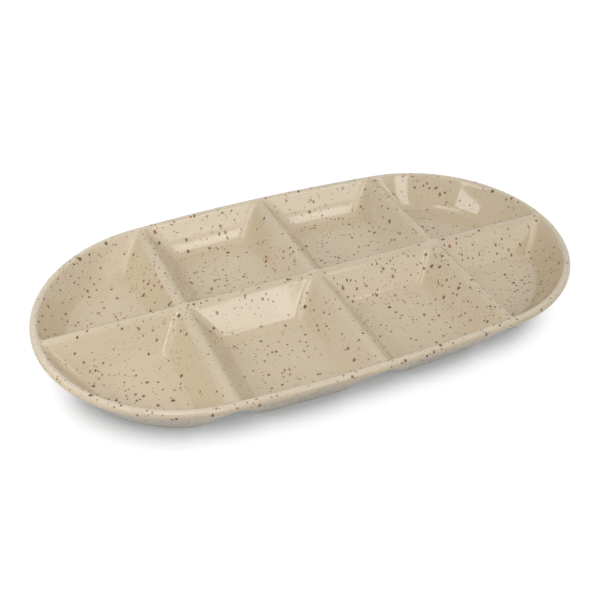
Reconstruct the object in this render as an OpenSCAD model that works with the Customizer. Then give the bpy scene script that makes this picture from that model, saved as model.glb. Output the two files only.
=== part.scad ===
// Divided serving dish of glazed stoneware: a long oval rim, one long divider,
// six short cross dividers and eight sloping wells with flat floors.
// The wells hang side by side, so the dividers are hollow underneath.
// Origin under the middle of the dish, on the table. +X runs along the dish, +Z is up.

/* [Dish] */
// Overall length over the rim
dish_l = 360; // [320:1:420]
// Overall width over the rim
dish_w = 197.5; // [170:0.5:230]
// Overall height from the table to the top of the rim
dish_h = 25; // [22:0.5:34]
// How far the long sides swell beyond a straight-sided oval
side_bow = 3.8; // [1:0.1:10]

/* [Rim] */
// Thickness of the outer wall, which ends in a fully rounded lip
rim_wall_t = 5.5; // [4:0.1:7]
// Slope of the outer wall from level, in degrees
rim_slope = 56; // [48:1:66]

/* [Dividers] */
// Distance between the crests of neighbouring cross dividers
well_pitch = 89; // [75:0.5:100]
// Width of the rounding along a divider's crest
crest_w = 10; // [6:0.1:12]
// Slope of a divider's sides from level, in degrees
divider_slope = 52; // [46:1:60]
// Thickness of the clay in a divider's sides
divider_wall_t = 4.5; // [3.5:0.1:5.5]
// How far the long divider's crest lies below the rim
divider_drop = 0.8; // [0.3:0.1:2]
// How far the cross dividers' crests lie below the long one
cross_step = 0.4; // [0.2:0.1:1.5]
// Width of the narrow top of the hollow under a cross divider
hollow_top_w = 1.6; // [0.8:0.1:4]

/* [Wells] */
// Thickness of the clay under a well's floor
floor_t = 4; // [3:0.1:6]
// Radius between a well's floor and its walls
floor_r = 7; // [3:0.5:9]
// Radius of a well's upright corners at the floor
corner_r = 5; // [2:0.5:8]
// Radius of a well's upright corners at the seam under the rim
seam_corner_r = 0.6; // [0.3:0.1:2]
// Radius of the outside edge between a well's walls and its base
base_r = 3; // [1:0.5:4]

/* [Hidden] */

rim_colour = "#D9CDB4";
divider_colour = "#CFC2A6";
well_colour = "#C8BA9C";

// Clearance at a divider's end, so that it stops just short of the rim's curved inner face
seat_gap = 0.12;

// Number of straight steps along each curve
end_steps = 36;
side_steps = 8;
well_arc_steps = 12;
well_side_steps = 4;
corner_steps = 5;
fillet_steps = 4;
crest_steps = 8;
lip_quarter_steps = 4;

// The oval: two end arcs and two flatter side arcs that meet smoothly at joint_angle
end_r = dish_w / 2 - side_bow;
end_x = dish_l / 2 - end_r;
side_r = (end_x * end_x + dish_w * dish_w / 4 - end_r * end_r) / (2 * side_bow);
side_y = side_r - dish_w / 2;
joint_angle = atan(side_y / end_x);

// Roundings along the rim and the dividers, and the heights where they run into straight sides
lip_r = rim_wall_t / 2;
lip_z = dish_h - lip_r;
lip_shoulder_z = lip_z + lip_r * cos(rim_slope);
crest_r = crest_w / 2;
long_crest_z = dish_h - divider_drop;
cross_crest_z = long_crest_z - cross_step;
function crest_shoulder_z(crest_z) = crest_z - crest_r + crest_r * cos(divider_slope);

// Inset of a straight inner face from the oval's edge, or from a divider's centre line, at height z
function rim_in(z) = lip_r + lip_r * sin(rim_slope) + (lip_shoulder_z - z) / tan(rim_slope);
function divider_in(z, crest_z) =
    crest_r * sin(divider_slope) + (crest_shoulder_z(crest_z) - z) / tan(divider_slope);

// The same insets, followed up round the lip and the crest
function rim_face(z) =
    z < lip_shoulder_z ? rim_in(z) : lip_r + sqrt(max(0, lip_r * lip_r - pow(z - lip_z, 2)));
function divider_face(z, crest_z) =
    z < crest_shoulder_z(crest_z)
        ? divider_in(z, crest_z)
        : sqrt(max(0, crest_r * crest_r - pow(z - crest_z + crest_r, 2)));

// Level thickness of the sloping walls
rim_level_t = rim_wall_t / sin(rim_slope);
divider_level_t = divider_wall_t / sin(divider_slope);

// Height of the seam where the rim and the dividers lie on the wells
seam_z = crest_shoulder_z(cross_crest_z)
    - (hollow_top_w / 2 + divider_level_t - crest_r * sin(divider_slope)) * tan(divider_slope);

// Inset at height z of a straight wall that runs into a level face at base_z with a fillet
function wall_inset(z, inset_at_base, slope, base_z, r) =
    let (edge = inset_at_base + r * tan(slope / 2), rise = z - base_z)
    rise < r * (1 - cos(slope))
        ? edge - r * sin(acos(1 - rise / r))
        : inset_at_base - rise / tan(slope);

// A well's insets at height z, from the rim, the long divider and a cross divider, and its corner radius
function corner_at(z) =
    seam_corner_r + (corner_r - seam_corner_r) * max(0, min(1, (seam_z - z) / (seam_z - floor_t)));
function inside_insets(z) = [
    wall_inset(z, rim_in(floor_t), rim_slope, floor_t, floor_r),
    wall_inset(z, divider_in(floor_t, long_crest_z), divider_slope, floor_t, floor_r),
    wall_inset(z, divider_in(floor_t, cross_crest_z), divider_slope, floor_t, floor_r),
    corner_at(z)
];
function outside_insets(z) = [
    wall_inset(z, rim_in(0) - rim_level_t, rim_slope, 0, base_r),
    wall_inset(z, divider_in(0, long_crest_z) - divider_level_t, divider_slope, 0, base_r),
    wall_inset(z, divider_in(0, cross_crest_z) - divider_level_t, divider_slope, 0, base_r),
    corner_at(z) + divider_wall_t
];

// Heights of the rings round a fillet, from the level face up to the steeper wall
steepest = max(rim_slope, divider_slope);
function fillet_levels(base_z, r) =
    [for (i = [0 : fillet_steps]) base_z + r * (1 - cos(steepest * i / fillet_steps))];

function arc(centre, r, from, to, steps) =
    [for (i = [0 : steps]) let (t = from + (to - from) * i / steps) centre + r * [cos(t), sin(t)]];
// An arc without its two end points
function inner_arc(centre, r, from, to, steps) =
    [for (i = [1 : steps - 1]) let (t = from + (to - from) * i / steps) centre + r * [cos(t), sin(t)]];

// Outline of a middle well in the +X +Y quarter: three straight sides and the bowed side of the dish
function middle_outline(rim_inset, long_inset, cross_inset, r) =
    let (
        near_x = cross_inset + r,
        far_x = well_pitch - cross_inset - r,
        near_y = long_inset + r,
        reach = side_r - rim_inset - r,
        near_t = acos(near_x / reach),
        far_t = acos(far_x / reach),
        middle = [0, -side_y]
    )
    concat(
        arc([near_x, near_y], r, 180, 270, corner_steps),
        arc([far_x, near_y], r, 270, 360, corner_steps),
        arc(middle + reach * [cos(far_t), sin(far_t)], r, 0, far_t, corner_steps),
        inner_arc(middle, reach + r, far_t, near_t, well_side_steps),
        arc(middle + reach * [cos(near_t), sin(near_t)], r, near_t, 180, corner_steps)
    );

// Outline of an end well in the +X +Y quarter: two straight sides and the round end of the dish
function end_outline(rim_inset, long_inset, cross_inset, r) =
    let (
        near_x = well_pitch + cross_inset + r,
        near_y = long_inset + r,
        reach = end_r - rim_inset - r,
        tip_t = asin(near_y / reach),
        side_t = acos((near_x - end_x) / reach),
        middle = [end_x, 0]
    )
    concat(
        arc([near_x, near_y], r, 180, 270, corner_steps),
        arc(middle + reach * [cos(tip_t), sin(tip_t)], r, -90, tip_t, corner_steps),
        inner_arc(middle, reach + r, tip_t, side_t, well_arc_steps),
        arc(middle + reach * [cos(side_t), sin(side_t)], r, side_t, 180, corner_steps)
    );

function well_ring(at_end, z, insets) =
    [for (p = at_end ? end_outline(insets[0], insets[1], insets[2], insets[3])
                     : middle_outline(insets[0], insets[1], insets[2], insets[3])) [p.x, p.y, z]];

// Distance from the middle line to the oval, inset from its edge, at x
function oval_y(x, inset) =
    abs(x) < end_x + (end_r - inset) * cos(joint_angle)
        ? sqrt(pow(side_r - inset, 2) - x * x) - side_y
        : sqrt(pow(end_r - inset, 2) - pow(abs(x) - end_x, 2));

// Stations once round the oval: the arc's centre, its radius and the angle on it
function stations(centre, r, from, to, steps) =
    [for (i = [0 : steps - 1]) [centre, r, from + (to - from) * i / steps]];
oval_stations = concat(
    stations([end_x, 0], end_r, -joint_angle, joint_angle, end_steps),
    stations([0, -side_y], side_r, joint_angle, 180 - joint_angle, side_steps),
    stations([-end_x, 0], end_r, 180 - joint_angle, 180 + joint_angle, end_steps),
    stations([0, side_y], side_r, 180 + joint_angle, 360 - joint_angle, side_steps)
);
function at_station(s, inset, z) =
    let (p = s[0] + (s[1] - inset) * [cos(s[2]), sin(s[2])]) [p.x, p.y, z];

// Section of the rim as inset and height: flat seam, straight sides and a fully rounded lip
rim_loop = concat(
    [[rim_in(seam_z), seam_z], [rim_in(seam_z) - rim_level_t, seam_z]],
    arc([lip_r, lip_z], lip_r, 270 - rim_slope, 180, lip_quarter_steps / 2),
    inner_arc([lip_r, lip_z], lip_r, 180, 90, lip_quarter_steps),
    arc([lip_r, lip_z], lip_r, 90, 90 - rim_slope, lip_quarter_steps)
);

// Section across a divider as offset and height: flat seam, straight sides and a rounded crest
function divider_loop(crest_z) = concat(
    [[-divider_in(seam_z, crest_z), seam_z], [divider_in(seam_z, crest_z), seam_z]],
    arc([0, crest_z - crest_r], crest_r, 90 - divider_slope, 90 + divider_slope, crest_steps)
);

// Joins rings that have equally many points into one closed solid
module loft(rings, closed = false) {
    m = len(rings);
    n = len(rings[0]);
    spans = closed ? m : m - 1;
    caps = closed ? [] : [[for (j = [0 : n - 1]) j], [for (j = [n - 1 : -1 : 0]) (m - 1) * n + j]];
    sides = [
        for (i = [0 : spans - 1], j = [0 : n - 1])
            let (a = i * n, b = ((i + 1) % m) * n, k = (j + 1) % n)
            each [[a + j, b + j, b + k], [a + j, b + k, a + k]]
    ];
    polyhedron(points = [for (ring = rings) each ring], faces = concat(sides, caps));
}

module rim() {
    color(rim_colour)
        loft([for (s = oval_stations) [for (p = rim_loop) at_station(s, p.x, p.y)]], closed = true);
}

module long_divider() {
    color(divider_colour) loft([
        for (end = [-1, 1]) [
            for (p = divider_loop(long_crest_z))
                let (reach = end_r - rim_face(p.y) - seat_gap)
                [end * (end_x + sqrt(reach * reach - p.x * p.x)), p.x, p.y]
        ]
    ]);
}

// A cross divider at x, from the long divider's side to the rim at the back or, mirrored, at the front
module cross_divider(x, at_front) {
    color(divider_colour) mirror([0, at_front ? 1 : 0, 0]) loft([
        [for (p = divider_loop(cross_crest_z)) [x - p.x, divider_face(p.y, long_crest_z), p.y]],
        [for (p = divider_loop(cross_crest_z))
            [x - p.x, oval_y(x - p.x, rim_face(p.y) + seat_gap), p.y]]
    ]);
}

// A well: rings up the outside of the cup to the seam, then down the inside to the floor
module well(at_end, at_left, at_front) {
    outside_levels = concat(fillet_levels(0, base_r), [seam_z]);
    inside_levels = concat(fillet_levels(floor_t, floor_r), [seam_z]);
    color(well_colour)
        mirror([at_left ? 1 : 0, 0, 0]) mirror([0, at_front ? 1 : 0, 0])
        loft(concat(
            [for (z = outside_levels) well_ring(at_end, z, outside_insets(z))],
            [for (i = [len(inside_levels) - 1 : -1 : 0])
                let (z = inside_levels[i]) well_ring(at_end, z, inside_insets(z))]
        ));
}

module front_left_divider() { cross_divider(-well_pitch, true); }
module front_middle_divider() { cross_divider(0, true); }
module front_right_divider() { cross_divider(well_pitch, true); }
module back_left_divider() { cross_divider(-well_pitch, false); }
module back_middle_divider() { cross_divider(0, false); }
module back_right_divider() { cross_divider(well_pitch, false); }
module front_left_end_well() { well(true, true, true); }
module front_left_middle_well() { well(false, true, true); }
module front_right_middle_well() { well(false, false, true); }
module front_right_end_well() { well(true, false, true); }
module back_left_end_well() { well(true, true, false); }
module back_left_middle_well() { well(false, true, false); }
module back_right_middle_well() { well(false, false, false); }
module back_right_end_well() { well(true, false, false); }

rim();
long_divider();
front_left_divider();
front_middle_divider();
front_right_divider();
back_left_divider();
back_middle_divider();
back_right_divider();
front_left_end_well();
front_left_middle_well();
front_right_middle_well();
front_right_end_well();
back_left_end_well();
back_left_middle_well();
back_right_middle_well();
back_right_end_well();
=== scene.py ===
"""Looks of a divided serving dish in speckled stoneware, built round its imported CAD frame.

The clay body is one sheet. A node tree presses it to the dish's own section, and the
pressed sheet is then cut at the CAD's seams into the rim, the dividers and the wells.
"""

import logging
import math
from dataclasses import dataclass, field
from enum import Enum, IntEnum
from functools import partial, reduce
from typing import Any, Callable, ClassVar

import bpy
import numpy as np
from bpy.types import ID, Material, Mesh, Node, NodeSocket, NodeTree, Object
from mathutils import Matrix, Vector


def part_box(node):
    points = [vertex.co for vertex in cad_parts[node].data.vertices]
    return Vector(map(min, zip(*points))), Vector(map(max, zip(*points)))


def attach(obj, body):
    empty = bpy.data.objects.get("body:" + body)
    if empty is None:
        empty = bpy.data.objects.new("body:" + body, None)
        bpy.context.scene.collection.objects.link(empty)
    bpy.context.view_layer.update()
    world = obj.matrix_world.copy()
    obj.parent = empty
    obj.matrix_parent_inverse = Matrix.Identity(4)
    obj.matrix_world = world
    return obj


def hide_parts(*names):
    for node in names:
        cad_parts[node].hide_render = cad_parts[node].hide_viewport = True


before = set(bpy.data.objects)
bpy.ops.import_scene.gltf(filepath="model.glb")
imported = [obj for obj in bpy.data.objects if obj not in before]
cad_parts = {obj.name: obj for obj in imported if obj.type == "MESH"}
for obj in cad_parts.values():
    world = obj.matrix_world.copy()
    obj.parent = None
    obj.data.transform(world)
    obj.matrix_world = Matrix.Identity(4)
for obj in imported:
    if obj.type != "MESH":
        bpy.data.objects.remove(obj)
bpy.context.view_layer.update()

LOG = logging.getLogger("serving_dish")
MM = 0.001
MIX = "ShaderNodeMix"
RAMP = "ShaderNodeMapRange"
VECTOR = "ShaderNodeVectorMath"
# A value nearer to nought than this counts as just above it
NOUGHT = 1e-9
# Keeps a normal of no length from being divided by nought
LEAST_LENGTH = 1e-20


class Row(Enum):
    """Rows of wells, as seen from the front of the dish."""

    FRONT = "front"
    BACK = "back"


class Place(Enum):
    """Places along the dish, from left to right."""

    LEFT = "left"
    MIDDLE = "middle"
    RIGHT = "right"


class Face(IntEnum):
    """What a face of the cut clay shows."""

    GLAZE = 0
    BARE = 1
    INSIDE = 2


class Part(IntEnum):
    """What a face of the cut clay belongs to."""

    WELL = 0
    LONG = 1
    RIM = 2
    CROSS = 3


def linear(hex_colour: str) -> tuple[float, float, float, float]:
    """Turns an sRGB hex value to linear light.

    Args:
        hex_colour: Six hex digits after a hash sign.

    Returns:
        Red, green, blue and an alpha of one.
    """
    parts = [int(hex_colour[i : i + 2], 16) / 255 for i in (1, 3, 5)]
    r, g, b = (c / 12.92 if c <= 0.04045 else ((c + 0.055) / 1.055) ** 2.4 for c in parts)
    return r, g, b, 1.0


def add(tree: NodeTree, kind: str, inputs: Any = (), **settings: Any) -> Node:
    """Adds a node with its settings and links.

    Args:
        tree: The node tree that gets the node.
        kind: The node's type name, or in capitals an operation of the maths node.
        inputs: Values, sockets or nodes for the inputs, in order or by socket name.
        **settings: Properties of the node itself.

    Returns:
        The new node.
    """
    if kind.isupper():
        kind, settings["operation"] = "ShaderNodeMath", kind
    node = tree.nodes.new(kind)
    for name, value in settings.items():
        setattr(node, name, value)
    pairs = inputs.items() if isinstance(inputs, dict) else enumerate(inputs)
    for key, value in pairs:
        same = [s for s in node.inputs if s.identifier == key]
        socket = same[0] if same else node.inputs[key]
        if isinstance(value, Node):
            value = next(s for s in value.outputs if s.enabled)
        if isinstance(value, NodeSocket):
            tree.links.new(value, socket)
        else:
            socket.default_value = value
    return node


def node_maker(holder: Any) -> Callable:
    """Empties the node tree of a material or a world.

    Args:
        holder: The material or world.

    Returns:
        A function that adds a node to the tree.
    """
    holder.use_nodes = True
    holder.node_tree.nodes.clear()
    return partial(add, holder.node_tree)


def show(name: str, data: ID) -> Object:
    """Puts an object in the scene.

    Args:
        name: The object's name.
        data: Its mesh, lamp or camera.

    Returns:
        The object, at the origin.
    """
    made = bpy.data.objects.new(name, data)
    bpy.context.scene.collection.objects.link(made)
    return made


@dataclass(frozen=True)
class Specks:
    """One size of iron specks in the glaze: spheres scattered through space, cut by the surface.

    Cell, radius and edge are in millimetres. Share is the part of the cells that hold a speck,
    and shift moves the pattern, in metres, so that no two sizes fall together.
    """

    cell: float
    radius: float
    share: float
    edge: float
    strength: float
    shift: float


@dataclass(frozen=True)
class SpeckledGlaze:
    """Glazed stoneware: a glassy oatmeal glaze, fired over iron-bearing clay.

    Iron bleeds up through the glaze as brown and rust-red specks with soft halos.
    The glass itself is smooth and glossy, with a faint waviness from the dipping and the fire.
    """

    name: str = "speckled_glazed_stoneware"
    body: str = "#CABAA0"
    warm: str = "#D2C1A4"
    dark_speck: str = "#624A2E"
    rust_speck: str = "#8E472D"
    halo: str = "#C39A7C"
    # Pale tone over the lip's top: thin glaze there, and a painted highlight
    pale_lip_and_highlight: str = "#DED6C6"
    roughness: float = 0.045
    ior: float = 1.5
    # From fine to coarse, since coarse specks lie over fine ones
    kinds: tuple[Specks, ...] = (
        Specks(1.6, 0.3, 0.95, 0.2, 0.45, 0.83),
        Specks(2.7, 0.5, 0.62, 0.3, 0.75, 0.57),
        Specks(3.6, 0.8, 0.72, 0.35, 0.88, 0.31),
        Specks(5.0, 1.2, 0.42, 0.45, 0.92, 0.0),
    )
    least_radius: float = 0.5
    halo_reach: float = 0.9
    halo_cover: float = 0.35
    rust_from: float = 0.5
    bleed_size: float = 1.6 * MM
    bleed_by: float = 0.9 * MM
    run: float = 0.7
    flock_size: float = 34 * MM
    flock_noise: tuple[float, float] = (0.3, 0.7)
    flock_share: tuple[float, float] = (0.35, 1.5)
    drift_size: float = 28 * MM
    # Heights and strength of the pale band over the lip's thin glaze, which also paints the lip's
    # highlight
    lip_highlight_heights: tuple[float, float] = (23.9 * MM, 25 * MM)
    lip_highlight_cover: float = 0.4
    wave_size: float = 14 * MM
    wave_height: float = 0.12 * MM
    wave_strength: float = 0.35

    def specks(self, put: Callable, coords: Any, thick: Any, kind: Specks) -> tuple[Any, ...]:
        """Adds one size of specks.

        Args:
            put: Adds a node to the tree.
            coords: Coordinates in metres.
            thick: How thickly specks lie here, about one.
            kind: The size of specks.

        Returns:
            The specks' cover, their halo's cover, and a random number for each speck.
        """
        moved = put(VECTOR, [coords, (kind.shift,) * 3], operation="ADD")
        cells = put(
            "ShaderNodeTexVoronoi", {"Vector": moved.outputs[0], "Scale": 1 / (kind.cell * MM)}
        ).outputs
        chance = put("ShaderNodeSeparateColor", [cells["Color"]]).outputs
        kept = put("LESS_THAN", [chance[0], put("MULTIPLY", [thick, kind.share])])
        least = self.least_radius * kind.radius
        reach = put(RAMP, {"Value": chance[1], "To Min": least, "To Max": kind.radius})
        away = put("MULTIPLY", [cells["Distance"], kind.cell])
        inside = put("SUBTRACT", [reach, away])
        covers = []
        for low, high, most in (
            (-kind.edge / 2, kind.edge / 2, kind.strength),
            (-self.halo_reach * kind.radius, 0.0, self.halo_cover),
        ):
            cover = put(
                RAMP,
                {"Value": inside, "From Min": low, "From Max": high, "To Max": most},
                interpolation_type="SMOOTHSTEP",
            )
            covers.append(put("MULTIPLY", [cover, kept]))
        return *covers, chance[2]

    def make(self) -> Material:
        """Builds the material on Object coordinates.

        Returns:
            The glaze.
        """
        material = bpy.data.materials.new(self.name)
        put = node_maker(material)
        coords = put("ShaderNodeTexCoord").outputs["Object"]
        sizes = self.bleed_size, self.flock_size, self.drift_size, self.wave_size
        bleed, flock, drift, wave = (
            put("ShaderNodeTexNoise", {"Vector": coords, "Scale": 1 / size, "Detail": fine}).outputs
            for size, fine in zip(sizes, (1.0, 1.0, 2.0, 1.0))
        )

        # Iron bleeds unevenly, so the coordinates are warped by less than half a millimetre
        centred = put(VECTOR, [bleed["Color"], (0.5, 0.5, 0.5)], operation="SUBTRACT").outputs[0]
        ragged = put(VECTOR, [centred, (self.bleed_by,) * 3, coords], operation="MULTIPLY_ADD")
        # The glaze runs a little on the slopes, which draws the specks out downwards
        stretch = (1.0, 1.0, self.run)
        run = put(VECTOR, [ragged.outputs[0], stretch], operation="MULTIPLY").outputs[0]
        (low, high), (few, many) = self.flock_noise, self.flock_share
        spread = {"From Min": low, "From Max": high, "To Min": few, "To Max": many}
        thick = put(RAMP, {"Value": flock["Fac"], **spread})
        # The glaze draws thin over the lip and fires paler there, and this pale band over the lip's
        # top also paints the lip's highlight
        height = put("ShaderNodeSeparateXYZ", [coords]).outputs["Z"]
        low, high = self.lip_highlight_heights
        lip_highlight = put(
            RAMP, {"Value": height, "From Min": low, "From Max": high, "To Max": self.lip_highlight_cover}
        )

        layers = [(drift["Fac"], linear(self.warm)), (lip_highlight, linear(self.pale_lip_and_highlight))]
        dark, rust = linear(self.dark_speck), linear(self.rust_speck)
        for kind in self.kinds:
            cover, glow, tone = self.specks(put, run, thick, kind)
            rusty = put(RAMP, {"Value": tone, "From Min": self.rust_from})
            iron = put(
                MIX, {"Factor_Float": rusty, "A_Color": dark, "B_Color": rust}, data_type="RGBA"
            )
            red_glow = put("MULTIPLY", [glow, rusty])
            layers += [(red_glow, linear(self.halo)), (cover, iron)]
        colour: Any = linear(self.body)
        for share, over in layers:
            colour = put(
                MIX, {"Factor_Float": share, "A_Color": colour, "B_Color": over}, data_type="RGBA"
            )

        wavy = put(
            "ShaderNodeBump",
            {"Height": wave["Fac"], "Strength": self.wave_strength, "Distance": self.wave_height},
        )
        shader = put(
            "ShaderNodeBsdfPrincipled",
            {"Base Color": colour, "Roughness": self.roughness, "IOR": self.ior, "Normal": wavy},
        )
        put("ShaderNodeOutputMaterial", {"Surface": shader.outputs[0]})
        return material


@dataclass(frozen=True)
class BareClay:
    """Bare stoneware, wiped clean of glaze on the flat bases so that it doesn't stick in the kiln.

    Fired clay is matt and sandy, a warm buff.
    """

    name: str = "bare_stoneware"
    buff: str = "#C9B08E"
    sand: str = "#B49A78"
    roughness: float = 0.85
    grit_size: float = 0.8 * MM

    def make(self) -> Material:
        """Builds the material on Object coordinates.

        Returns:
            The bare clay.
        """
        material = bpy.data.materials.new(self.name)
        put = node_maker(material)
        coords = put("ShaderNodeTexCoord").outputs["Object"]
        grit = put(
            "ShaderNodeTexNoise", {"Vector": coords, "Scale": 1 / self.grit_size, "Detail": 3.0}
        ).outputs["Fac"]
        colour = put(
            MIX,
            {"Factor_Float": grit, "A_Color": linear(self.sand), "B_Color": linear(self.buff)},
            data_type="RGBA",
        )
        shader = put(
            "ShaderNodeBsdfPrincipled", {"Base Color": colour, "Roughness": self.roughness}
        )
        put("ShaderNodeOutputMaterial", {"Surface": shader.outputs[0]})
        return material


@dataclass
class Outline:
    """Plan of the dish: two end arcs and two flatter side arcs that meet smoothly.

    Sizes are in metres. The swell of the long sides is the CAD's own value.
    """

    length: float
    width: float
    side_bow: float = 3.8 * MM

    def __post_init__(self) -> None:
        """Works out the arcs' radii, and how far their centres lie from the middle."""
        self.end_r = self.width / 2 - self.side_bow
        self.end_x = self.length / 2 - self.end_r
        self.side_r = (self.end_x**2 + self.width**2 / 4 - self.end_r**2) / (2 * self.side_bow)
        self.side_y = self.side_r - self.width / 2

    def edge(self, x: float, inset: float) -> tuple[np.ndarray, np.ndarray]:
        """Finds a point of the back half of the inset oval.

        Args:
            x: Distance along the dish.
            inset: Distance in from the outer edge.

        Returns:
            The point and the outward normal there.
        """
        apart = math.hypot(self.end_x, self.side_y)
        joint = self.end_x + (self.end_r - inset) * self.end_x / apart
        if abs(x) < joint:
            centre, r = np.array([0.0, -self.side_y]), self.side_r - inset
        else:
            centre, r = np.array([math.copysign(self.end_x, x), 0.0]), self.end_r - inset
        point = np.array([x, centre[1] + math.sqrt(max(0.0, r * r - (x - centre[0]) ** 2))])
        out = point - centre
        return point, out / np.linalg.norm(out)


@dataclass
class ClaySheet:
    """The flat sheet that is pressed: two layers of plan points, welded round the outer edge.

    Columns run across the dish and lie closer together at the cross dividers, rows run along it
    and lie closer together at the long divider, and strips follow the rim.
    """

    outline: Outline
    pitch: float
    rim_inset: float
    lip_r: float
    rim_slope: float
    fine: float = 0.7 * MM
    coarse: float = 1.15 * MM
    ridge_reach: float = 8 * MM
    tip_step: float = math.radians(0.7)
    lip_step: float = math.radians(8)

    def steps(self, *stops: tuple[float, float]) -> np.ndarray:
        """Spaces points evenly between stops.

        Args:
            *stops: Pairs of a place and the spacing wanted on the way to it, from nought.

        Returns:
            The places, in order, with nought left out.
        """
        at, made = 0.0, []
        for stop, spacing in stops:
            count = max(1, round((stop - at) / spacing))
            made += [at + (stop - at) * (i + 1) / count for i in range(count)]
            at = stop
        return np.array(made)

    def columns(self) -> np.ndarray:
        """Places of the columns between the two tips, which are left out."""
        reach = self.ridge_reach
        straight = self.steps(
            (reach, self.fine),
            (self.pitch - reach, self.coarse),
            (self.pitch + reach, self.fine),
        )
        r = self.outline.end_r - self.rim_inset
        start = math.asin((straight[-1] - self.outline.end_x) / r)
        count = round((math.pi / 2 - start) / self.tip_step)
        angles = start + (math.pi / 2 - start) * np.arange(1, count) / count
        half = np.concatenate([straight, self.outline.end_x + r * np.sin(angles)])
        return np.concatenate([-half[::-1], [0.0], half])

    def rows(self) -> np.ndarray:
        """Places of the rows as shares of the half width, from front to back."""
        half_width = self.outline.edge(0.0, self.rim_inset)[0][1]
        half = self.steps((self.ridge_reach, self.fine), (half_width, self.coarse)) / half_width
        return np.concatenate([-half[::-1], [0.0], half])

    def insets(self, under: bool) -> list[float]:
        """Insets of the strips over or under the lip, from the rim's inner face to the edge."""
        shoulder = math.pi / 2 - self.rim_slope
        first = math.pi - shoulder if under else shoulder
        start = self.lip_r * (1 + math.cos(first))
        spacing = self.fine if under else self.coarse
        flat = self.rim_inset - self.steps((self.rim_inset - start, spacing))
        count = round((math.pi - first) / self.lip_step)
        angles = first + (math.pi - first) * np.arange(1, count) / count
        return [*flat, *(self.lip_r * (1 + np.cos(angles))), 0.0]

    def layer(self, insets: list[float]) -> tuple[np.ndarray, list[tuple[int, ...]], int]:
        """Lays out one side of the sheet.

        Args:
            insets: Insets of the strips outside the grid.

        Returns:
            Plan points, faces that look up, and the number of points in the outermost strip,
            which come last.
        """
        columns, rows = self.columns(), self.rows()
        n, m = len(columns), len(rows)
        rim = [self.outline.edge(x, self.rim_inset) for x in columns]
        tip_x = self.outline.end_x + self.outline.end_r - self.rim_inset
        points = [(x, share * p[1]) for x, (p, _) in zip(columns, rim) for share in rows]
        left, right = n * m, n * m + 1
        points += [(-tip_x, 0.0), (tip_x, 0.0)]
        faces: list[tuple[int, ...]] = [
            (i * m + j, (i + 1) * m + j, (i + 1) * m + j + 1, i * m + j + 1)
            for i in range(n - 1)
            for j in range(m - 1)
        ]
        faces += [(left, j, j + 1) for j in range(m - 1)]
        faces += [((n - 1) * m + j, right, (n - 1) * m + j + 1) for j in range(m - 1)]

        flip = np.array([1.0, -1.0])
        back = [i * m + m - 1 for i in reversed(range(n))]
        ring = [right, *back, left, *(i * m for i in range(n))]
        front = [(p * flip, o * flip) for p, o in rim]
        ends = [(np.array([s * tip_x, 0.0]), np.array([s, 0.0])) for s in (1.0, -1.0)]
        stations = [ends[0], *rim[::-1], ends[1], *front]
        for inset in insets:
            start = len(points)
            points += [tuple(p + o * (self.rim_inset - inset)) for p, o in stations]
            outer = list(range(start, start + len(stations)))
            faces += zip(ring, outer, outer[1:] + outer[:1], ring[1:] + ring[:1])
            ring = outer
        return np.array(points), faces, len(stations)

    def make(self) -> Object:
        """Makes the sheet as an object, with the lower layer marked.

        Returns:
            The flat sheet.
        """
        top, top_faces, edge = self.layer(self.insets(under=False))
        low, low_faces, _ = self.layer(self.insets(under=True))
        kept = len(low) - edge
        number = np.concatenate([len(top) + np.arange(kept), len(top) - edge + np.arange(edge)])
        plan = np.concatenate([top, low[:kept]])
        points = np.column_stack([plan, np.zeros(len(plan))])
        faces = top_faces + [tuple(int(number[k]) for k in reversed(f)) for f in low_faces]
        mesh = bpy.data.meshes.new("clay_sheet")
        mesh.from_pydata(points.tolist(), [], faces)
        marks = np.repeat([0.0, 1.0], [len(top), kept]).astype(np.float32)
        mesh.attributes.new("underside", "FLOAT", "POINT").data.foreach_set("value", marks)
        return show("clay_sheet", mesh)


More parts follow.
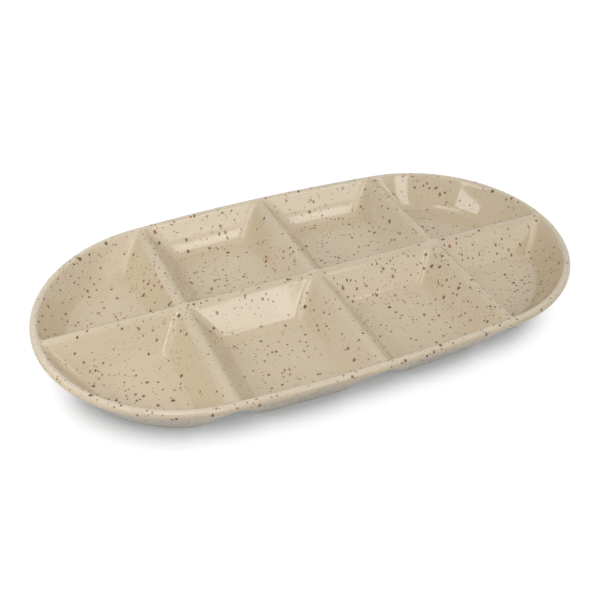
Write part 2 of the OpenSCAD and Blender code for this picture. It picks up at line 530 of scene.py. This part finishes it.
@dataclass
class Press:
    """The rule that presses the sheet, as a node tree with a named input for each size.

    The upper face is the highest of the floor, the rim's section and the dividers' sections,
    run into each other with soft fillets. The lower face follows it a wall's thickness below.
    """

    sizes: dict[str, float]
    tree: NodeTree = field(init=False)

    def __post_init__(self) -> None:
        """Starts the tree with its inputs."""
        self.tree = bpy.data.node_groups.new("press_dish", "GeometryNodeTree")
        face = self.tree.interface
        face.new_socket("Geometry", in_out="INPUT", socket_type="NodeSocketGeometry")
        for name in self.sizes:
            face.new_socket(name, in_out="INPUT", socket_type="NodeSocketFloat")
        face.new_socket("Glaze", in_out="INPUT", socket_type="NodeSocketMaterial")
        face.new_socket("Geometry", in_out="OUTPUT", socket_type="NodeSocketGeometry")

    def section(
        self, put: Callable, offset: Any, radius: Any, slope: Any, below: bool = False
    ) -> Node:
        """Adds the rise of a rounded edge with a straight side, from the rounding's centre.

        Args:
            put: Adds a node to the tree.
            offset: Distance from the edge's centre line, positive towards the straight side.
            radius: Radius of the rounding.
            slope: Slope of the straight side from level.
            below: Whether the rounding lies on the far side of the straight part.

        Returns:
            The node with the rise.
        """
        sine, cosine, tangent = (put(name, [slope]) for name in ("SINE", "COSINE", "TANGENT"))
        run, rise = (put("MULTIPLY", [radius, share]) for share in (sine, cosine))
        left = put("SUBTRACT", [run, offset])
        side = put("MULTIPLY_ADD", [left, tangent, rise])
        whole, level = (put("MULTIPLY", [length, length]) for length in (radius, offset))
        chord = put("MAXIMUM", [put("SUBTRACT", [whole, level]), 0.0])
        arc = put("SQRT", [chord])
        straight = put("GREATER_THAN" if below else "LESS_THAN", [left, 0.0])
        return put(
            MIX, {"Factor_Float": straight, "A_Float": arc, "B_Float": side}, data_type="FLOAT"
        )

    def inset(self, put: Callable, size: dict[str, Any], x: Any, y: Any) -> Node:
        """Adds the distance in from the oval's edge.

        Args:
            put: Adds a node to the tree.
            size: The tree's inputs by name.
            x: Distance from the middle along the dish, without sign.
            y: Distance from the middle across the dish, without sign.

        Returns:
            The node with the distance.
        """
        beyond = put("SUBTRACT", [x, size["End Centre"]])
        past = put("ADD", [y, size["Side Centre"]])
        ahead = put("MULTIPLY", [beyond, size["Side Centre"]])
        aside = put("MULTIPLY", [y, size["End Centre"]])
        at_end = put("GREATER_THAN", [ahead, aside])
        from_edge = []
        for radius, along, across in (("Side Radius", x, past), ("End Radius", beyond, y)):
            arm = put("ShaderNodeCombineXYZ", [along, across])
            reach = put(VECTOR, [arm], operation="LENGTH").outputs["Value"]
            from_edge.append(put("SUBTRACT", [size[radius], reach]))
        return put(
            MIX,
            {"Factor_Float": at_end, "A_Float": from_edge[0], "B_Float": from_edge[1]},
            data_type="FLOAT",
        )

    def soften(self, put: Callable, heights: list[Any], top: Any, most: Any, depth: Any) -> Node:
        """Adds the highest of several faces, with fillets that fade out towards the top.

        Args:
            put: Adds a node to the tree.
            heights: Heights of the faces.
            top: Height at which the fillets vanish.
            most: Largest blend.
            depth: Depth under the top from which the blend is largest.

        Returns:
            The node with the height.
        """
        highest = reduce(lambda one, other: put("MAXIMUM", [one, other]), heights)
        under = put("DIVIDE", [put("SUBTRACT", [top, highest]), depth], use_clamp=True)
        blend = put("MULTIPLY", [most, put("SQRT", [under])])
        return reduce(lambda one, other: put("SMOOTH_MAX", [one, other, blend]), heights)

    def build(self) -> None:
        """Adds the nodes of the rule."""
        put = partial(add, self.tree)
        given = put("NodeGroupInput")
        size = {name: given.outputs[name] for name in self.sizes}
        place = put("ShaderNodeSeparateXYZ", [put("GeometryNodeInputPosition")])
        x, y = place.outputs[0], place.outputs[1]
        far_x, far_y = (put("ABSOLUTE", [along]) for along in (x, y))
        inset = self.inset(put, size, far_x, far_y)

        # Distance from the nearest of the three lines of cross dividers
        pitch = size["Well Pitch"]
        nearest = put("ROUND", [put("DIVIDE", [x, pitch])])
        number = put("MAXIMUM", [put("MINIMUM", [nearest, 1.0]), -1.0])
        away = put("ABSOLUTE", [put("SUBTRACT", [x, put("MULTIPLY", [number, pitch])])])

        # The rim, whose inner wall is a little hollow: steeper under the lip than at the floor
        lip, rim_slope = size["Lip Radius"], size["Rim Slope"]
        lip_z = put("SUBTRACT", [size["Rim Top"], lip])
        over_lip = put("SUBTRACT", [inset, lip])
        straight = put("ADD", [lip_z, self.section(put, over_lip, lip, rim_slope)])
        shoulder = put("MULTIPLY", [lip, put("SINE", [rim_slope])])
        down = put("MAXIMUM", [put("SUBTRACT", [over_lip, shoulder]), 0.0])
        rest = put("MAXIMUM", [put("SUBTRACT", [size["Rim Run"], down]), 0.0])
        dip = put("MULTIPLY", [put("MULTIPLY", [down, rest]), size["Rim Hollow"]])
        rim = put("SUBTRACT", [straight, dip])
        out_lip = put("SUBTRACT", [lip, inset])
        rim_under = put("SUBTRACT", [lip_z, self.section(put, out_lip, lip, rim_slope, below=True)])

        # The dividers, which sag where they run into the rim, and the hollows under them
        short = put("MAXIMUM", [put("SUBTRACT", [size["Ridge Sag Reach"], inset]), 0.0])
        sag = put("MULTIPLY", [put("MULTIPLY", [short, short]), size["Ridge Sag"]])
        round_off = put("MULTIPLY", [size["Hollow Radius"], size["Hollow Radius"]])
        radius, slope = size["Crest Radius"], size["Divider Slope"]
        ridges, hollows = [], []
        for offset, crest in ((far_y, "Long Crest"), (away, "Cross Crest")):
            eased = put("SQRT", [put("MULTIPLY_ADD", [offset, offset, round_off])])
            shifted = put("ADD", [eased, size["Divider Level Wall"]])
            centre = put("SUBTRACT", [size[crest], radius])
            ridge, hollow = (
                put("ADD", [centre, self.section(put, from_middle, radius, slope)])
                for from_middle in (offset, shifted)
            )
            ridges.append(put("SUBTRACT", [ridge, sag]))
            hollows.append(hollow)

        # Upper and lower face
        walls = self.soften(
            put, [rim, *ridges], size["Rim Top"], size["Valley Blend"], size["Valley Depth"]
        )
        upper = put("SMOOTH_MAX", [walls, size["Floor"], size["Floor Blend"]])
        shell = self.soften(
            put, [rim_under, *hollows], lip_z, size["Underside Blend"], size["Underside Depth"]
        )
        lower = put("SMOOTH_MAX", [shell, 0.0, size["Base Blend"]])
        under = put("GeometryNodeInputNamedAttribute", {"Name": "underside"}, data_type="FLOAT")
        height = put(
            MIX,
            {"Factor_Float": under.outputs["Attribute"], "A_Float": upper, "B_Float": lower},
            data_type="FLOAT",
        )

        clay = given.outputs["Geometry"]
        for name, value in zip(Clay.carried, (rim, *ridges)):
            clay = put(
                "GeometryNodeStoreNamedAttribute",
                {"Geometry": clay, "Name": name, "Value": value},
                data_type="FLOAT",
                domain="POINT",
            )
        pressed = put("ShaderNodeCombineXYZ", [x, y, height])
        clay = put("GeometryNodeSetPosition", {"Geometry": clay, "Position": pressed})
        clay = put("GeometryNodeRealizeInstances", {"Geometry": clay})
        glaze = given.outputs["Glaze"]
        clay = put("GeometryNodeSetMaterial", {"Geometry": clay, "Material": glaze})
        put("NodeGroupOutput", {"Geometry": clay})

    def press(self, sheet: Object, glaze: Material) -> Mesh:
        """Presses the sheet and takes the result as a plain mesh.

        Args:
            sheet: The flat sheet, which is removed.
            glaze: The material that the tree sets.

        Returns:
            The pressed clay.
        """
        self.build()
        modifier = sheet.modifiers.new("press", "NODES")
        modifier.node_group = self.tree
        for item in self.tree.interface.items_tree:
            if item.in_out == "INPUT" and item.name in self.sizes:
                modifier[item.identifier] = float(self.sizes[item.name])
            elif item.in_out == "INPUT" and item.name == "Glaze":
                modifier[item.identifier] = glaze
        depsgraph = bpy.context.evaluated_depsgraph_get()
        mesh = bpy.data.meshes.new_from_object(sheet.evaluated_get(depsgraph))
        sheet.modifiers.remove(modifier)
        flat = sheet.data
        bpy.data.objects.remove(sheet)
        bpy.data.meshes.remove(flat)
        return mesh


@dataclass
class Clay:
    """Pressed clay as triangles that can be cut along the level lines of a value on its points.

    The values carried along are the heights of the rim's, the long divider's and the cross
    dividers' own sections at each point.
    """

    points: np.ndarray
    normals: np.ndarray
    values: np.ndarray
    faces: np.ndarray
    kinds: np.ndarray
    labels: np.ndarray
    carried: ClassVar[tuple[str, ...]] = ("rim_height", "long_height", "cross_height")

    @classmethod
    def of_mesh(cls, mesh: Mesh) -> "Clay":
        """Takes a mesh apart.

        Args:
            mesh: The pressed clay.

        Returns:
            The same clay as arrays, all of it glazed and none of it cut.
        """

        def read(items: Any, key: str, width: int) -> np.ndarray:
            """Reads one property of every item."""
            flat = np.zeros(len(items) * width, np.float32)
            items.foreach_get(key, flat)
            return flat.astype(float).reshape(-1, width)

        mesh.calc_loop_triangles()
        count = len(mesh.loop_triangles)
        faces = np.zeros(count * 3, np.int32)
        mesh.loop_triangles.foreach_get("vertices", faces)
        values = [read(mesh.attributes[name].data, "value", 1) for name in cls.carried]
        return cls(
            read(mesh.vertices, "co", 3),
            read(mesh.vertex_normals, "vector", 3),
            np.concatenate(values, 1),
            faces.reshape(-1, 3).astype(int),
            np.full(count, Face.GLAZE),
            np.full(count, Part.WELL),
        )

    def cut(self, level: np.ndarray, part: Part) -> np.ndarray:
        """Cuts the faces of a part along the line where a value on the points is nought.

        Args:
            level: The value at each point.
            part: The part that is cut.

        Returns:
            For each face, whether it lies where the value is positive.
        """
        level = np.where(np.abs(level) < NOUGHT, NOUGHT, level)
        high = level > 0
        raised = high[self.faces].sum(1)
        crossed = (self.labels == part) & (raised > 0) & (raised < 3)
        tri = self.faces[crossed]
        lone_is_high = raised[crossed] == 1
        lone = np.argmax(high[tri] == lone_is_high[:, None], 1)
        a, b, c = (tri[np.arange(len(tri)), (lone + k) % 3] for k in range(3))
        pairs = np.sort(np.concatenate([np.stack([a, b], 1), np.stack([a, c], 1)]), 1)
        edges, at = np.unique(pairs, axis=0, return_inverse=True)
        p, q = edges.T
        share = (level[p] / (level[p] - level[q]))[:, None]
        ab, ac = len(self.points) + at.reshape(2, -1)
        for name in ("points", "normals", "values"):
            old = getattr(self, name)
            setattr(self, name, np.concatenate([old, old[p] + (old[q] - old[p]) * share]))
        new = [np.stack(corners, 1) for corners in ((a, ab, ac), (ab, b, c), (ab, c, ac))]
        self.faces = np.concatenate([self.faces[~crossed], *new])
        for name in ("kinds", "labels"):
            old = getattr(self, name)
            setattr(self, name, np.concatenate([old[~crossed], np.tile(old[crossed], 3)]))
        return np.concatenate([raised[~crossed] > 0, lone_is_high, ~lone_is_high, ~lone_is_high])

    def add_faces(self, faces: np.ndarray, part: Part) -> None:
        """Adds faces inside the clay.

        Args:
            faces: Point numbers, three to a face.
            part: The part that gets them.
        """
        self.faces = np.concatenate([self.faces, faces])
        self.kinds = np.concatenate([self.kinds, np.full(len(faces), Face.INSIDE)])
        self.labels = np.concatenate([self.labels, np.full(len(faces), part)])

    def loops(self, part: Part) -> list[list[int]]:
        """Finds the open edges of a part.

        Args:
            part: The part.

        Returns:
            Closed loops of points, in the direction in which the faces run.
        """
        tri = self.faces[self.labels == part]
        edges = np.concatenate([tri[:, [0, 1]], tri[:, [1, 2]], tri[:, [2, 0]]])
        count = len(self.points)
        keys = edges[:, 0] * count + edges[:, 1]
        back = edges[:, 1] * count + edges[:, 0]
        following: dict[int, list[int]] = {}
        for u, v in edges[~np.isin(keys, back)]:
            following.setdefault(int(u), []).append(int(v))
        found = []
        for start in list(following):
            while following[start]:
                loop, at = [start], following[start].pop()
                while at != start:
                    loop.append(at)
                    at = following[at].pop()
                found.append(loop)
        return found

    def divide(self, level: np.ndarray, low: Part, high: Part) -> None:
        """Cuts a part in two along a level line and closes the cut with a fan on each side.

        Args:
            level: The value at each point, nought along the cut.
            low: The part to cut, which keeps what lies where the value is negative.
            high: The part that gets the rest.
        """
        side = self.cut(level, low)
        self.labels[side & (self.labels == low)] = high
        for loop in self.loops(high):
            m = np.full(len(loop), len(self.points))
            self.points = np.concatenate([self.points, self.points[loop].mean(0)[None]])
            self.normals = np.concatenate([self.normals, np.zeros((1, 3))])
            self.values = np.concatenate([self.values, self.values[loop].mean(0)[None]])
            u, v = np.array(loop), np.roll(loop, -1)
            self.add_faces(np.stack([v, u, m], 1), high)
            self.add_faces(np.stack([u, v, m], 1), low)

    def piece(self, name: str, chosen: np.ndarray, finishes: list[Material]) -> Object:
        """Makes an object of some faces.

        Args:
            name: The object's name.
            chosen: The faces' numbers.
            finishes: Materials for the glazed faces and for bare and cut clay.

        Returns:
            The object, at the origin.
        """
        used, tri = np.unique(self.faces[chosen], return_inverse=True)
        tri = tri.reshape(-1, 3)
        points, kinds = self.points[used], self.kinds[chosen]
        inside = kinds == Face.INSIDE
        mesh = bpy.data.meshes.new(name)
        mesh.from_pydata(points.tolist(), [], tri.tolist())
        for material in finishes:
            mesh.materials.append(material)
        bare = (kinds != Face.GLAZE).astype(np.int32)
        mesh.polygons.foreach_set("material_index", bare)
        a, b, c = (points[tri[:, k]] for k in range(3))
        flat = np.repeat(np.cross(b - a, c - a)[:, None], 3, 1)
        corner = np.where(inside[:, None, None], flat, self.normals[used][tri])
        length = np.linalg.norm(corner, axis=2, keepdims=True)
        corner = corner / np.maximum(length, LEAST_LENGTH)
        mesh.polygons.foreach_set("use_smooth", np.ones(len(tri), bool))
        # Edges of the cuts are sharp, so that the glaze keeps the whole dish's smooth normals there
        edge_of = np.zeros(len(mesh.loops), np.int32)
        mesh.loops.foreach_get("edge_index", edge_of)
        sharp = np.isin(np.arange(len(mesh.edges)), edge_of[np.repeat(inside, 3)])
        mesh.edges.foreach_set("use_edge_sharp", sharp)
        mesh.normals_split_custom_set(corner.reshape(-1, 3).tolist())
        mesh.update()
        return show(name, mesh)


@dataclass
class ServingDish:
    """The clay body: an oval rim, one long divider, six cross dividers and eight wells."""

    rim_wall: float = 5.5 * MM
    rim_slope: float = math.radians(56)
    rim_run: float = 14.3 * MM
    rim_hollow: float = 0.0104 / MM
    crest_r: float = 5 * MM
    divider_slope: float = math.radians(52)
    divider_wall: float = 4.1 * MM
    hollow_r: float = 0.35 * MM
    ridge_sag: float = 0.35 / MM
    sag_reach: float = 6 * MM
    floor: float = 4 * MM
    valley_blend: float = 8 * MM
    valley_depth: float = 5 * MM
    floor_blend: float = 4.6 * MM
    underside_blend: float = 11 * MM
    underside_depth: float = 8 * MM
    base_blend: float = 2 * MM
    wiped_height: float = 0.25 * MM

    def __post_init__(self) -> None:
        """Reads the sizes that the frame gives."""
        low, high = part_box("rim")
        self.outline = Outline(high.x - low.x, high.y - low.y)
        self.top, self.seam = high.z, low.z
        self.long_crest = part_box("long_divider")[1].z
        low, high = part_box("front_right_divider")
        self.pitch, self.cross_crest = (low.x + high.x) / 2, high.z
        self.lip_r = self.rim_wall / 2

    def rim_inset(self) -> float:
        """Inset of the rim's inner face at the seam."""
        shoulder = self.top - self.lip_r + self.lip_r * math.cos(self.rim_slope)
        run = (shoulder - self.seam) / math.tan(self.rim_slope)
        return self.lip_r * (1 + math.sin(self.rim_slope)) + run

    def press_sizes(self) -> dict[str, float]:
        """Sizes for the press, by input name."""
        return {
            "End Radius": self.outline.end_r,
            "End Centre": self.outline.end_x,
            "Side Radius": self.outline.side_r,
            "Side Centre": self.outline.side_y,
            "Rim Top": self.top,
            "Lip Radius": self.lip_r,
            "Rim Slope": self.rim_slope,
            "Rim Run": self.rim_run,
            "Rim Hollow": self.rim_hollow,
            "Well Pitch": self.pitch,
            "Crest Radius": self.crest_r,
            "Long Crest": self.long_crest,
            "Cross Crest": self.cross_crest,
            "Divider Slope": self.divider_slope,
            "Divider Level Wall": self.divider_wall / math.sin(self.divider_slope),
            "Hollow Radius": self.hollow_r,
            "Ridge Sag": self.ridge_sag,
            "Ridge Sag Reach": self.sag_reach,
            "Floor": self.floor,
            "Valley Blend": self.valley_blend,
            "Valley Depth": self.valley_depth,
            "Floor Blend": self.floor_blend,
            "Underside Blend": self.underside_blend,
            "Underside Depth": self.underside_depth,
            "Base Blend": self.base_blend,
        }

    def node_name(self, part: Part, x: float, y: float) -> str:
        """Names the node that a place in a part lies in."""
        row = (Row.FRONT if y < 0 else Row.BACK).value
        if part == Part.WELL:
            hand = (Place.LEFT if x < 0 else Place.RIGHT).value
            reach = "end" if abs(x) > self.pitch else Place.MIDDLE.value
            return f"{row}_{hand}_{reach}_well"
        if part == Part.CROSS:
            number = int(np.clip(round(x / self.pitch), -1, 1))
            return f"{row}_{list(Place)[number + 1].value}_divider"
        return "rim" if part == Part.RIM else "long_divider"

    def seam_rings(self, clay: Clay) -> np.ndarray:
        """Closes the seam between the wells and what lies on them.

        Args:
            clay: The clay, cut at the seam.

        Returns:
            Level faces that look up, one ring to a well.
        """
        by_well: dict[str, list[list[int]]] = {}
        for loop in clay.loops(Part.WELL):
            x, y = clay.points[loop].mean(0)[:2]
            by_well.setdefault(self.node_name(Part.WELL, x, y), []).append(loop)
        faces = []
        for rings in by_well.values():
            centre = clay.points[rings[0]].mean(0)
            turned = []
            for ring in rings:
                arm = clay.points[ring] - centre
                angle = np.arctan2(arm[:, 1], arm[:, 0])
                # Each ring keeps its own order, turned to run one way from its smallest angle
                whole = np.unwrap(angle)
                order = np.arange(len(ring))[:: 1 if whole[-1] > whole[0] else -1]
                order = np.roll(order, -np.argmin(angle[order]))
                angle = np.maximum.accumulate(angle[order])
                ids = np.array(ring)[order]
                reach = np.linalg.norm(arm[:, :2], axis=1).mean()
                closed = np.append(angle, angle[0] + math.tau)
                turned.append((np.append(ids, ids[0]), closed, reach))
            (inner, inner_at, _), (outer, outer_at, _) = sorted(turned, key=lambda t: t[2])
            i = j = 0
            n, m = len(inner) - 1, len(outer) - 1
            while i < n or j < m:
                base = inner[i], outer[j]
                if j == m or (i < n and inner_at[i + 1] < outer_at[j + 1]):
                    i += 1
                    faces.append((*base, inner[i]))
                else:
                    j += 1
                    faces.append((*base, outer[j]))
        return np.array(faces)

    def cut_up(self, clay: Clay) -> dict[str, np.ndarray]:
        """Cuts the clay at the CAD's seams and closes each part.

        Args:
            clay: The whole pressed clay, which gains points and faces.

        Returns:
            The numbers of each node's faces.
        """
        wiped = ~clay.cut(clay.points[:, 2] - self.wiped_height, Part.WELL)
        clay.kinds[wiped] = Face.BARE

        # All that lies above the seam starts as the long divider
        above = clay.cut(clay.points[:, 2] - self.seam, Part.WELL)
        clay.labels[above] = Part.LONG
        rings = self.seam_rings(clay)
        clay.add_faces(rings, Part.WELL)
        clay.add_faces(rings[:, ::-1], Part.LONG)
        rim_z, long_z, cross_z = clay.values.T
        clay.divide(rim_z - np.maximum(long_z, cross_z), Part.LONG, Part.RIM)
        _, long_z, cross_z = clay.values.T
        clay.divide(cross_z - long_z, Part.LONG, Part.CROSS)

        found: dict[str, list[int]] = {}
        middles = clay.points[clay.faces].mean(1)
        for number, (part, (x, y, _)) in enumerate(zip(clay.labels, middles)):
            found.setdefault(self.node_name(part, x, y), []).append(number)
        return {name: np.array(numbers) for name, numbers in found.items()}

    def make(self, glaze: Material, bare: Material) -> None:
        """Presses, cuts and dresses the clay.

        Args:
            glaze: Finish of the glazed faces.
            bare: Finish of the wiped bases and of the cuts inside the clay.
        """
        inset = self.rim_inset()
        sheet = ClaySheet(self.outline, self.pitch, inset, self.lip_r, self.rim_slope).make()
        mesh = Press(self.press_sizes()).press(sheet, glaze)
        clay = Clay.of_mesh(mesh)
        bpy.data.meshes.remove(mesh)
        for node, numbers in sorted(self.cut_up(clay).items()):
            piece = clay.piece(f"glazed_{node}", numbers, [glaze, bare])
            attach(piece, "root")
            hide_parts(node)
            LOG.info("%s: %d triangles", piece.name, len(numbers))


def direction(azimuth: float, elevation: float) -> Vector:
    """Turns two angles to a unit vector.

    Args:
        azimuth: Angle from the front of the dish towards its right.
        elevation: Angle above level.

    Returns:
        The vector from the dish.
    """
    level = math.cos(elevation)
    return Vector((math.sin(azimuth) * level, -math.cos(azimuth) * level, math.sin(elevation)))


@dataclass(frozen=True)
class SoftBox:
    """A rectangular lamp that looks at the dish.

    Angles are in degrees: azimuth from the front towards the right, elevation above level, and
    the width and height under which the dish sees the lamp. The distance is in metres.
    Glow is the brightness of its face, where a white wall in plain light has one. Mirrored says
    whether the glaze shows it: a lamp that it doesn't show is a fill.
    """

    name: str
    azimuth: float
    elevation: float
    width: float
    height: float
    glow: float
    distance: float = 20.0
    mirrored: bool = True

    def make(self) -> None:
        """Adds the lamp."""
        data = bpy.data.lights.new(self.name, "AREA")
        data.shape = "RECTANGLE"
        wide, high = (
            2 * self.distance * math.tan(math.radians(a) / 2) for a in (self.width, self.height)
        )
        data.size, data.size_y = wide, high
        # A lamp of this power has a face of the brightness that was asked for
        data.energy = math.pi * wide * high * self.glow
        lamp = show(self.name, data)
        out = direction(math.radians(self.azimuth), math.radians(self.elevation))
        lamp.location = out * self.distance
        lamp.visible_camera = False
        lamp.visible_glossy = self.mirrored
        lamp.rotation_euler = (-out).to_track_quat("-Z", "Y").to_euler()


@dataclass
class Studio:
    """A white table, soft light and a camera at the photograph's angle."""

    azimuth: float = math.radians(-25.358)
    elevation: float = math.radians(38.024)
    roll: float = math.radians(1.191)
    distance: float = 567.9 * MM
    target: tuple[float, float, float] = (-7.694 * MM, 4.531 * MM, 0.0)
    lens: float = 51.306
    sensor: float = 36.0
    sky: float = 0.335
    table_half: float = 4.0
    table_z: float = -0.05 * MM
    table_white: float = 0.65
    seen_white: float = 0.15
    table_lift: float = 0.93
    shade_lean: float = math.radians(58)
    shade_reach: float = 30 * MM
    shade_samples: int = 16
    shade_power: float = 3.0
    deepest_shade: float = 0.3
    shade_ends: tuple[float, float] = (125 * MM, 168 * MM)
    lamps: tuple[SoftBox, ...] = (
        SoftBox("near_left", -50, 64, 20, 20, 3.6, 0.85),
        SoftBox("near_fill", -30, 64, 32, 23, 1.7, 0.85, False),
        SoftBox("left_fill", -88, 28, 30, 30, 2.4, 0.55, False),
        SoftBox("right_fill", 75, 48, 30, 30, 1.7, 5.0, False),
        SoftBox("right_pane_low", 17.7, 28.8, 8, 5, 2.8),
        SoftBox("right_pane_middle", 18.9, 34.3, 7.5, 4, 3.7),
        SoftBox("right_pane_high", 26.5, 41.5, 10.5, 10, 3.7),
        SoftBox("right_wall", 40, 31, 31, 12, 1.0),
        SoftBox("middle_pane", -3, 41.5, 9.5, 21, 4.0),
        SoftBox("left_pane", -72, 37.5, 20, 6.5, 4.0),
    )

    def camera(self) -> None:
        """Adds the camera."""
        data = bpy.data.cameras.new("camera")
        data.lens, data.sensor_width = self.lens, self.sensor
        made = show("camera", data)
        back = direction(self.azimuth, self.elevation)
        turn = (-back).to_track_quat("-Z", "Y").to_matrix() @ Matrix.Rotation(self.roll, 3, "Z")
        stand = Matrix.Translation(Vector(self.target) + back * self.distance)
        made.matrix_world = stand @ turn.to_4x4()
        bpy.context.scene.camera = made

    def seen(self, put: Callable) -> Node:
        """Adds a switch that is one where the camera, a reflection or a clear body looks."""
        path = put("ShaderNodeLightPath").outputs
        mirrored = put("MAXIMUM", [path["Is Glossy Ray"], path["Is Transmission Ray"]])
        return put("MAXIMUM", [path["Is Camera Ray"], mirrored])

    def shade(self, put: Callable) -> Node:
        """Adds the table's shade, one where it is open and less where the dish hides the light.

        Args:
            put: Adds a node to the tree.

        Returns:
            The shade.
        """
        # The dish shades the table under its edge towards the camera, as by a broad light behind it
        rise = math.cos(self.shade_lean)
        front = direction(self.azimuth, 0.0)
        lean = Vector((0.0, 0.0, rise)) - front * math.sin(self.shade_lean)
        open_sky = put(
            "ShaderNodeAmbientOcclusion",
            {"Distance": self.shade_reach, "Normal": tuple(lean)},
            samples=self.shade_samples,
        ).outputs["AO"]
        hidden = put(
            RAMP, {"Value": open_sky, "From Min": (1 - rise) / 2, "To Min": 1.0, "To Max": 0.0}
        )
        # The shade is gone at the dish's two ends
        coords = put("ShaderNodeTexCoord").outputs["Object"]
        across = put(VECTOR, [coords, (-front.y, front.x, 0.0)], operation="DOT_PRODUCT")
        inner, outer = self.shade_ends
        middle = put(
            RAMP,
            {
                "Value": put("ABSOLUTE", [across.outputs["Value"]]),
                "From Min": inner,
                "From Max": outer,
                "To Min": self.deepest_shade - 1,
                "To Max": 0.0,
            },
            interpolation_type="SMOOTHSTEP",
        )
        deep = put("POWER", [hidden, self.shade_power])
        return put("MULTIPLY_ADD", [deep, middle, 1.0])

    def floor(self) -> None:
        """Adds the white table top, which is clear from below."""
        mesh = bpy.data.meshes.new("table")
        r, z = self.table_half, self.table_z
        mesh.from_pydata([(-r, -r, z), (r, -r, z), (r, r, z), (-r, r, z)], [], [(0, 1, 2, 3)])
        material = bpy.data.materials.new("white_table")
        put = node_maker(material)
        shade, seen = self.shade(put), self.seen(put)
        # To the camera the table is mostly a glow of its own, so that it stays plain white
        seen_white = put("MULTIPLY", [shade, self.seen_white])
        white = put(RAMP, {"Value": seen, "To Min": self.table_white, "To Max": seen_white})
        lift = put("MULTIPLY", [put("MULTIPLY", [seen, shade]), self.table_lift])
        glow = put("ShaderNodeEmission", {"Color": (1, 1, 1, 1), "Strength": lift})
        top = put("ShaderNodeAddShader", [put("ShaderNodeBsdfDiffuse", {"Color": white}), glow])
        below = put("ShaderNodeNewGeometry").outputs["Backfacing"]
        surface = put("ShaderNodeMixShader", [below, top, put("ShaderNodeBsdfTransparent")])
        put("ShaderNodeOutputMaterial", {"Surface": surface})
        mesh.materials.append(material)
        table = show("table", mesh)

    def light(self) -> None:
        """Adds the world and the lamps."""
        world = bpy.data.worlds.new("studio")
        put = node_maker(world)
        strength = put(RAMP, {"Value": self.seen(put), "To Min": self.sky, "To Max": 1.0})
        glow = put("ShaderNodeBackground", {"Color": (1, 1, 1, 1), "Strength": strength})
        put("ShaderNodeOutputWorld", [glow])
        bpy.context.scene.world = world
        for lamp in self.lamps:
            lamp.make()

    def make(self) -> None:
        """Sets up the studio."""
        bpy.context.scene.view_settings.view_transform = "Standard"
        self.camera()
        self.floor()
        self.light()


def main() -> None:
    """Builds the dish and its studio."""
    logging.basicConfig(level=logging.INFO)
    Studio().make()
    ServingDish().make(SpeckledGlaze().make(), BareClay().make())


if __name__ == "__main__":
    main()
